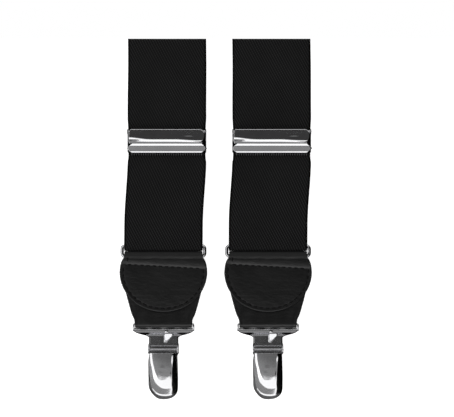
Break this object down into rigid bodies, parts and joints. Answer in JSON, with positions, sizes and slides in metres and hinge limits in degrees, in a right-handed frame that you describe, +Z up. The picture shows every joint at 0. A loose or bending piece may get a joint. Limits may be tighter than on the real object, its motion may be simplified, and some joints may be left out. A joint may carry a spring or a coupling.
{
  "type": "suspenders",
  "caption": "Y-back trouser suspenders of black elastic webbing with slide adjusters, leather tabs on wire rings and hinged metal clips, laid flat.",
  "frame": {"origin": "middle of the set's bounding box, on the surface that it lies on", "axes": "+Y runs from the front clips to the back clip, +Z is up out of the straps' outer face, +X is to the right seen from above"},
  "size_m": [0.0933, 1.067, 0.0088],
  "materials": {
    "elastic_webbing": "black elastic twill webbing, matt with a slight sheen",
    "tab_leather": "smooth black leather, semi-gloss, stitched in black",
    "patch_leather": "smooth black leather, semi-gloss, stitched in black",
    "adjuster_chrome": "polished nickel plate",
    "clip_nickel": "polished nickel plate, lightly scuffed",
    "ring_wire": "polished nickel plate",
    "inner_steel": "plated steel, satin",
    "grip_pad": "moulded black plastic"
  },
  "bodies": {
    "root": {"left_strap": "elastic_webbing", "right_strap": "elastic_webbing", "back_strap": "elastic_webbing", "patch_front_leather": "patch_leather", "patch_back_leather": "patch_leather"},
    "left_adjuster": {"left_adjuster_frame": "inner_steel", "left_adjuster_pin": "inner_steel"},
    "left_adjuster_lock": {"left_adjuster_plate": "adjuster_chrome"},
    "left_loop": {"left_strap_loop": "elastic_webbing"},
    "right_adjuster": {"right_adjuster_frame": "inner_steel", "right_adjuster_pin": "inner_steel"},
    "right_adjuster_lock": {"right_adjuster_plate": "adjuster_chrome"},
    "right_loop": {"right_strap_loop": "elastic_webbing"},
    "left_ring": {"left_ring": "ring_wire"},
    "left_tab": {"left_tab_outer_leather": "tab_leather", "left_tab_inner_leather": "tab_leather"},
    "left_clip": {"left_clip_body": "clip_nickel", "left_clip_pin": "inner_steel", "left_clip_back_pad": "grip_pad"},
    "left_lever": {"left_clip_lever": "clip_nickel"},
    "left_jaw": {"left_clip_jaw": "inner_steel", "left_clip_jaw_pad": "grip_pad"},
    "right_ring": {"right_ring": "ring_wire"},
    "right_tab": {"right_tab_outer_leather": "tab_leather", "right_tab_inner_leather": "tab_leather"},
    "right_clip": {"right_clip_body": "clip_nickel", "right_clip_pin": "inner_steel", "right_clip_back_pad": "grip_pad"},
    "right_lever": {"right_clip_lever": "clip_nickel"},
    "right_jaw": {"right_clip_jaw": "inner_steel", "right_clip_jaw_pad": "grip_pad"},
    "back_ring": {"back_ring": "ring_wire"},
    "back_tab": {"back_tab_outer_leather": "tab_leather", "back_tab_inner_leather": "tab_leather"},
    "back_clip": {"back_clip_body": "clip_nickel", "back_clip_pin": "inner_steel", "back_clip_back_pad": "grip_pad"},
    "back_lever": {"back_clip_lever": "clip_nickel"},
    "back_jaw": {"back_clip_jaw": "inner_steel", "back_clip_jaw_pad": "grip_pad"}
  },
  "joints": [
    {"name": "left_adjuster_slide", "type": "slide", "parent": "root", "child": "left_adjuster", "axis": [0, 1, 0], "range_m": [-0.04, 0.24], "deforming": ["left_strap"]},
    {"name": "left_loop_slide", "type": "slide", "parent": "left_adjuster", "child": "left_loop", "axis": [0, 1, 0], "range_m": [-0.12, 0.02], "deforming": ["left_strap_loop"]},
    {"name": "left_adjuster_flip", "type": "hinge", "parent": "left_adjuster", "child": "left_adjuster_lock", "pos_m": [-0.0236, -0.4037, 0.00745], "axis": [-1, 0, 0], "range_deg": [0, 95]},
    {"name": "right_adjuster_slide", "type": "slide", "parent": "root", "child": "right_adjuster", "axis": [0, 1, 0], "range_m": [-0.04, 0.24], "deforming": ["right_strap"]},
    {"name": "right_loop_slide", "type": "slide", "parent": "right_adjuster", "child": "right_loop", "axis": [0, 1, 0], "range_m": [-0.12, 0.02], "deforming": ["right_strap_loop"]},
    {"name": "right_adjuster_flip", "type": "hinge", "parent": "right_adjuster", "child": "right_adjuster_lock", "pos_m": [0.027, -0.4037, 0.00745], "axis": [-1, 0, 0], "range_deg": [0, 95]},
    {"name": "left_ring_swing", "type": "hinge", "parent": "left_loop", "child": "left_ring", "pos_m": [-0.0253, -0.4591, 0.00265], "axis": [1, 0, 0], "range_deg": [-45, 45]},
    {"name": "left_tab_swing", "type": "hinge", "parent": "left_ring", "child": "left_tab", "pos_m": [-0.0253, -0.4639, 0.00265], "axis": [1, 0, 0], "range_deg": [-80, 80]},
    {"name": "left_clip_swing", "type": "hinge", "parent": "left_tab", "child": "left_clip", "pos_m": [-0.0253, -0.49675, 0.00265], "axis": [1, 0, 0], "range_deg": [-40, 40]},
    {"name": "left_lever_open", "type": "hinge", "parent": "left_clip", "child": "left_lever", "pos_m": [-0.0253, -0.5091, 0.0045], "axis": [-1, 0, 0], "range_deg": [0, 110]},
    {"name": "left_jaw_open", "type": "hinge", "parent": "left_clip", "child": "left_jaw", "pos_m": [-0.0253, -0.513, 0.00325], "axis": [-1, 0, 0], "range_deg": [0, 14]},
    {"name": "right_ring_swing", "type": "hinge", "parent": "right_loop", "child": "right_ring", "pos_m": [0.0253, -0.4591, 0.00265], "axis": [1, 0, 0], "range_deg": [-45, 45]},
    {"name": "right_tab_swing", "type": "hinge", "parent": "right_ring", "child": "right_tab", "pos_m": [0.0253, -0.4639, 0.00265], "axis": [1, 0, 0], "range_deg": [-80, 80]},
    {"name": "right_clip_swing", "type": "hinge", "parent": "right_tab", "child": "right_clip", "pos_m": [0.0253, -0.49675, 0.00265], "axis": [1, 0, 0], "range_deg": [-40, 40]},
    {"name": "right_lever_open", "type": "hinge", "parent": "right_clip", "child": "right_lever", "pos_m": [0.0253, -0.5091, 0.0045], "axis": [-1, 0, 0], "range_deg": [0, 110]},
    {"name": "right_jaw_open", "type": "hinge", "parent": "right_clip", "child": "right_jaw", "pos_m": [0.0253, -0.513, 0.00325], "axis": [-1, 0, 0], "range_deg": [0, 14]},
    {"name": "back_ring_swing", "type": "hinge", "parent": "root", "child": "back_ring", "pos_m": [0.0017, 0.4591, 0.00265], "axis": [-1, 0, 0], "range_deg": [-45, 45]},
    {"name": "back_tab_swing", "type": "hinge", "parent": "back_ring", "child": "back_tab", "pos_m": [0.0017, 0.4639, 0.00265], "axis": [-1, 0, 0], "range_deg": [-80, 80]},
    {"name": "back_clip_swing", "type": "hinge", "parent": "back_tab", "child": "back_clip", "pos_m": [0.0017, 0.49675, 0.00265], "axis": [-1, 0, 0], "range_deg": [-40, 40]},
    {"name": "back_lever_open", "type": "hinge", "parent": "back_clip", "child": "back_lever", "pos_m": [0.0017, 0.5091, 0.0045], "axis": [1, 0, 0], "range_deg": [0, 110]},
    {"name": "back_jaw_open", "type": "hinge", "parent": "back_clip", "child": "back_jaw", "pos_m": [0.0017, 0.513, 0.00325], "axis": [1, 0, 0], "range_deg": [0, 14]}
  ],
  "couplings": [
    {"joint": "left_loop_slide", "follows": "left_adjuster_slide", "ratio": -0.5},
    {"joint": "right_loop_slide", "follows": "right_adjuster_slide", "ratio": -0.5},
    {"joint": "left_jaw_open", "follows": "left_lever_open", "ratio": 0.12},
    {"joint": "right_jaw_open", "follows": "right_lever_open", "ratio": 0.12},
    {"joint": "back_jaw_open", "follows": "back_lever_open", "ratio": 0.12}
  ]
}
